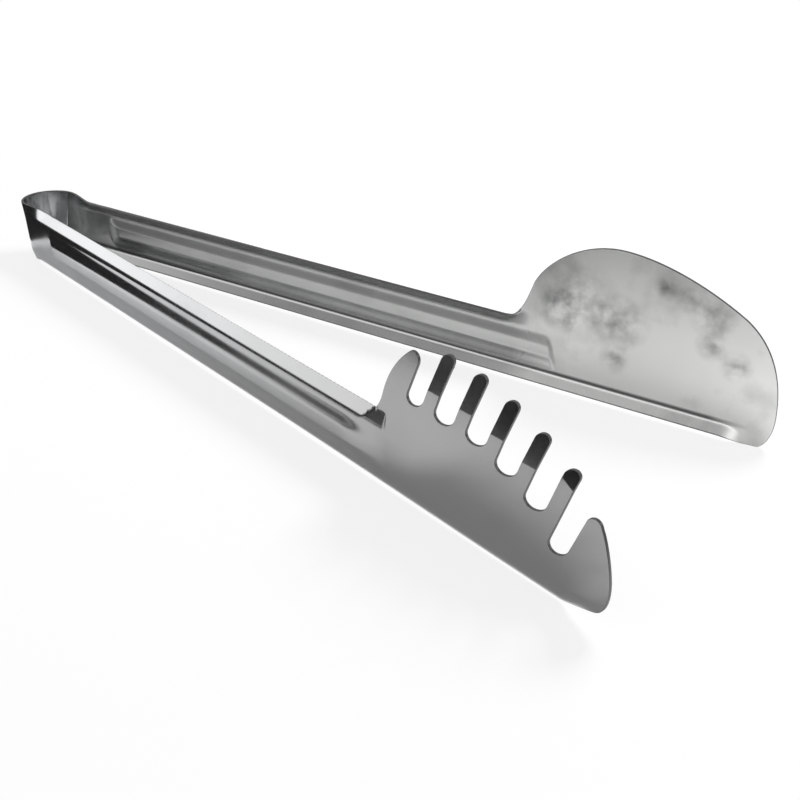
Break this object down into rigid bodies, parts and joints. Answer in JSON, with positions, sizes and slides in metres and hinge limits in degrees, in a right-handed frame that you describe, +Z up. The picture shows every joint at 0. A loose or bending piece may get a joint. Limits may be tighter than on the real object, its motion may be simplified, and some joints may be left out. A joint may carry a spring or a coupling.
{
  "type": "salad tongs",
  "caption": "Sheet-metal tongs: a flat spring bow carries a channel arm with a slotted comb and a channel arm with a broad leaf-shaped paddle.",
  "frame": {"origin": "under the middle of the tongs, on the surface that they stand on", "axes": "+X from the closed end towards the tips, +Y from the comb arm towards the paddle arm, +Z up"},
  "size_m": [0.2518, 0.0966, 0.045],
  "materials": {
    "bow_steel": "smooth polished stainless sheet",
    "comb_steel": "smooth polished stainless sheet",
    "paddle_steel": "satin stainless sheet"
  },
  "bodies": {
    "bow": {"spring_bow": "bow_steel"},
    "comb": {"comb_arm": "comb_steel"},
    "paddle": {"paddle_arm": "paddle_steel"}
  },
  "joints": [
    {"name": "comb_flex", "type": "hinge", "parent": "bow", "child": "comb", "pos_m": [-0.1222, -0.00426, 0.01], "axis": [0, 0, 1], "range_deg": [0, 10.4], "stiffness_Nm_per_rad": 6, "deforming": ["spring_bow"]},
    {"name": "paddle_flex", "type": "hinge", "parent": "bow", "child": "paddle", "pos_m": [-0.1222, 0.00474, 0.01], "axis": [0, 0, 1], "range_deg": [-10.4, 0], "stiffness_Nm_per_rad": 6, "deforming": ["spring_bow"]}
  ],
  "couplings": [
    {"joint": "paddle_flex", "follows": "comb_flex", "ratio": -1}
  ]
}
